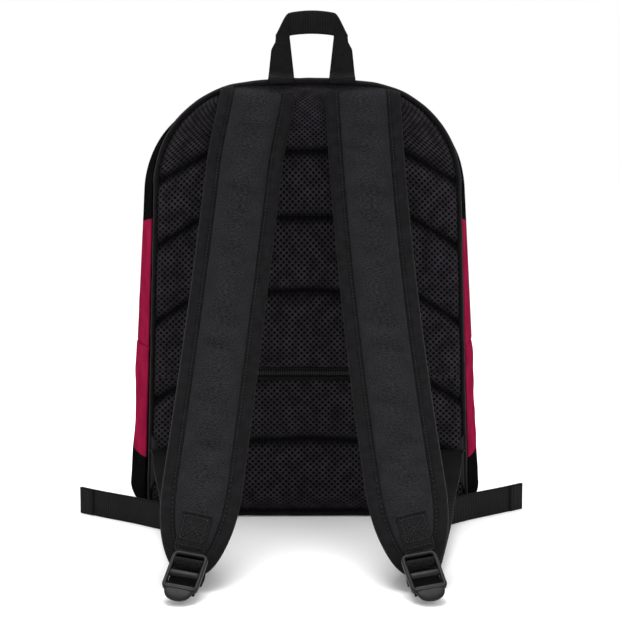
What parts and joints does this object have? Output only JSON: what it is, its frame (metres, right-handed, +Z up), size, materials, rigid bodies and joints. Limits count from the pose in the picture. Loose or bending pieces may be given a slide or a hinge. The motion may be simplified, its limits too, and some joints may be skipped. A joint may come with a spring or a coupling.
{
  "type": "travel backpack",
  "caption": "Upright soft backpack with padded mesh back, two shoulder straps on ladder locks, haul loop, zipped main flap, front pocket and hidden back pocket.",
  "frame": {"origin": "centre of the base, on the surface that the bag stands on", "axes": "+Z up, -Y out of the padded back that faces the wearer, +Y out of the front pocket, +X to the right seen from the padded back"},
  "size_m": [0.43, 0.4402, 0.482],
  "materials": {
    "printed_cloth": "fine printed polyester twill, crimson with black ends",
    "base_cloth": "plain polyester",
    "edge_binding": "grosgrain binding tape",
    "air_mesh": "open air mesh",
    "strap_cloth": "fine twill over foam",
    "foam": "closed-cell foam board",
    "lining_cloth": "thin silky lining",
    "zip_tape": "woven zip tape",
    "zip_coil": "nylon coil",
    "slider_metal": "black painted zinc",
    "webbing": "ribbed polyester webbing",
    "moulded_plastic": "moulded acetal"
  },
  "bodies": {
    "bag": {"base_panel": "base_cloth", "side_gusset_left": "printed_cloth", "side_gusset_right": "printed_cloth", "rear_arch_gusset": "printed_cloth", "rear_zip_tape": "zip_tape", "rear_zip_coil": "zip_coil", "front_panel_lower": "printed_cloth", "front_piping_lower": "edge_binding", "lining_lower": "lining_cloth", "lining_rear": "lining_cloth", "back_edge_binding": "edge_binding", "back_foam_board": "foam", "back_lining": "lining_cloth", "back_mesh_upper": "air_mesh", "back_mesh_lower": "air_mesh", "hidden_pocket_pouch": "lining_cloth", "hidden_zip_tape": "zip_tape", "hidden_zip_coil": "zip_coil", "laptop_sleeve": "lining_cloth", "sleeve_edge_binding": "edge_binding", "front_pocket_panel": "printed_cloth", "front_pocket_zip_tape": "zip_tape", "front_pocket_zip_coil": "zip_coil", "web_tab_left": "webbing", "web_tab_right": "webbing"},
    "front_flap": {"front_panel_upper": "printed_cloth", "front_arch_gusset": "printed_cloth", "front_zip_tape": "zip_tape", "front_zip_coil": "zip_coil", "lining_flap": "lining_cloth", "front_piping_upper": "edge_binding"},
    "haul_loop": {"haul_loop": "webbing"},
    "strap_left": {"strap_left_pad": "strap_cloth", "strap_left_mesh": "air_mesh", "strap_left_binding": "edge_binding", "strap_left_root": "strap_cloth", "strap_left_patch": "webbing", "tail_lead_left": "webbing"},
    "ladder_lock_left": {"ladder_lock_left": "moulded_plastic"},
    "adjuster_left": {"webbing_left": "webbing"},
    "tail_left": {"webbing_tail_left": "webbing"},
    "main_slider_left": {"main_slider_left": "slider_metal"},
    "main_pull_left": {"main_pull_left": "slider_metal"},
    "strap_right": {"strap_right_pad": "strap_cloth", "strap_right_mesh": "air_mesh", "strap_right_binding": "edge_binding", "strap_right_root": "strap_cloth", "strap_right_patch": "webbing", "tail_lead_right": "webbing"},
    "ladder_lock_right": {"ladder_lock_right": "moulded_plastic"},
    "adjuster_right": {"webbing_right": "webbing"},
    "tail_right": {"webbing_tail_right": "webbing"},
    "main_slider_right": {"main_slider_right": "slider_metal"},
    "main_pull_right": {"main_pull_right": "slider_metal"},
    "pocket_slider": {"pocket_slider": "slider_metal"},
    "pocket_pull": {"pocket_pull": "slider_metal"},
    "hidden_slider": {"hidden_slider": "slider_metal"},
    "hidden_pull": {"hidden_pull": "slider_metal"}
  },
  "joints": [
    {"name": "flap_fold", "type": "hinge", "parent": "bag", "child": "front_flap", "pos_m": [0, 0.0477, 0.165], "axis": [-1, 0, 0], "range_deg": [0, 80]},
    {"name": "haul_loop_swing", "type": "hinge", "parent": "bag", "child": "haul_loop", "pos_m": [0.004, -0.067, 0.4215], "axis": [-1, 0, 0], "range_deg": [-75, 55]},
    {"name": "strap_left_swing", "type": "hinge", "parent": "bag", "child": "strap_left", "pos_m": [-0.05, -0.0716, 0.414], "axis": [-1, 0, 0], "range_deg": [0, 30]},
    {"name": "ladder_lock_left_tilt", "type": "hinge", "parent": "strap_left", "child": "ladder_lock_left", "pos_m": [-0.094, -0.3235, 0.032], "axis": [-0.9744, 0.1843, 0.129], "range_deg": [0, 45]},
    {"name": "adjuster_left_swing", "type": "hinge", "parent": "bag", "child": "adjuster_left", "pos_m": [-0.136, -0.074, 0.064], "axis": [-1, 0, 0], "range_deg": [0, 30]},
    {"name": "tail_left_slide", "type": "slide", "parent": "strap_left", "child": "tail_left", "axis": [-0.7876, 0.6162, 0], "range_m": [0, 0.04]},
    {"name": "main_slider_left_travel", "type": "hinge", "parent": "bag", "child": "main_slider_left", "pos_m": [0, 0.004, -0.041], "axis": [0, -1, 0], "range_deg": [0, 8.5]},
    {"name": "main_pull_left_flip", "type": "hinge", "parent": "main_slider_left", "child": "main_pull_left", "pos_m": [-0.008, -0.001, 0.4135], "axis": [-1, 0, 0], "range_deg": [0, 105]},
    {"name": "strap_right_swing", "type": "hinge", "parent": "bag", "child": "strap_right", "pos_m": [0.05, -0.0716, 0.414], "axis": [-1, 0, 0], "range_deg": [0, 30]},
    {"name": "ladder_lock_right_tilt", "type": "hinge", "parent": "strap_right", "child": "ladder_lock_right", "pos_m": [0.09, -0.3235, 0.032], "axis": [-0.9744, -0.1843, -0.129], "range_deg": [0, 45]},
    {"name": "adjuster_right_swing", "type": "hinge", "parent": "bag", "child": "adjuster_right", "pos_m": [0.136, -0.074, 0.064], "axis": [-1, 0, 0], "range_deg": [0, 30]},
    {"name": "tail_right_slide", "type": "slide", "parent": "strap_right", "child": "tail_right", "axis": [0.7601, 0.6498, 0], "range_m": [0, 0.04]},
    {"name": "main_slider_right_travel", "type": "hinge", "parent": "bag", "child": "main_slider_right", "pos_m": [0, 0.004, -0.041], "axis": [0, 1, 0], "range_deg": [0, 8.5]},
    {"name": "main_pull_right_flip", "type": "hinge", "parent": "main_slider_right", "child": "main_pull_right", "pos_m": [0.008, -0.001, 0.4135], "axis": [-1, 0, 0], "range_deg": [0, 105]},
    {"name": "pocket_slider_travel", "type": "slide", "parent": "bag", "child": "pocket_slider", "axis": [1, 0, 0], "range_m": [0, 0.198]},
    {"name": "pocket_pull_flip", "type": "hinge", "parent": "pocket_slider", "child": "pocket_pull", "pos_m": [-0.099, 0.0741, 0.131], "axis": [1, 0, 0], "range_deg": [0, 105]},
    {"name": "hidden_slider_travel", "type": "slide", "parent": "bag", "child": "hidden_slider", "axis": [1, 0, 0], "range_m": [0, 0.166]},
    {"name": "hidden_pull_flip", "type": "hinge", "parent": "hidden_slider", "child": "hidden_pull", "pos_m": [-0.083, -0.0735, 0.135], "axis": [-1, 0, 0], "range_deg": [0, 105]}
  ],
  "couplings": [
    {"joint": "adjuster_left_swing", "follows": "strap_left_swing", "ratio": 0.97},
    {"joint": "adjuster_right_swing", "follows": "strap_right_swing", "ratio": 0.97}
  ]
}
